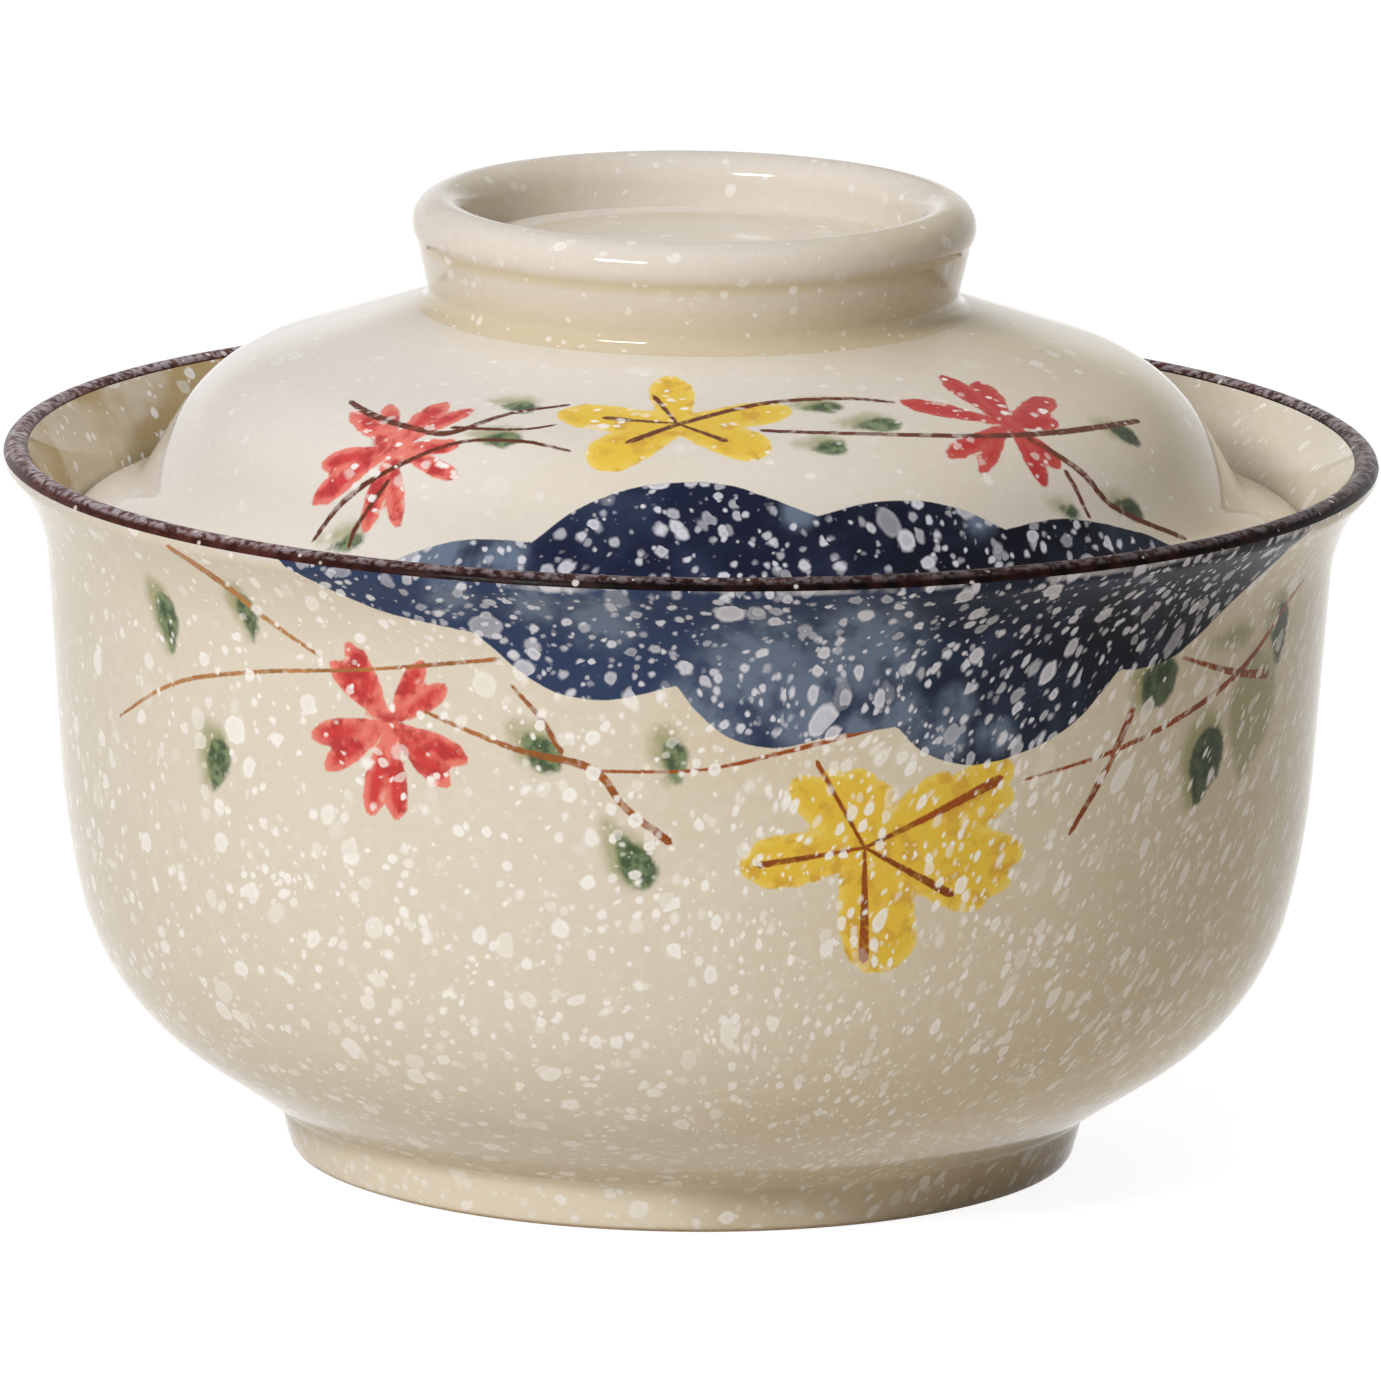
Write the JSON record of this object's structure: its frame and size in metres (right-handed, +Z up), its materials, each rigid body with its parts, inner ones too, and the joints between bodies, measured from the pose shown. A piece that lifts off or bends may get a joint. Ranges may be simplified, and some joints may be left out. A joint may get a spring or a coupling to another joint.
{
  "type": "donburi bowl with lid",
  "caption": "Round rice bowl on a foot ring, with a flared iron-brown lip and a drop-in lid lifted by a ring on its crown; painted speckled stoneware glaze.",
  "frame": {"origin": "middle of the foot ring's ground face", "axes": "+Z up, along the axis that the bowl and the lid are turned about; -Y is the side that the picture shows"},
  "size_m": [0.16, 0.16, 0.1129],
  "materials": {
    "bowl_glaze": "gloss",
    "iron_coat": "gloss",
    "lid_glaze": "gloss"
  },
  "bodies": {
    "bowl": {"bowl_shell": "bowl_glaze", "foot_ring": "bowl_glaze", "rim_band": "iron_coat"},
    "lid": {"lid_shell": "lid_glaze", "lid_ring": "lid_glaze"}
  },
  "joints": [
    {"name": "lid_lift", "type": "slide", "parent": "bowl", "child": "lid", "axis": [0, 0, 1], "range_m": [0, 0.08]}
  ]
}
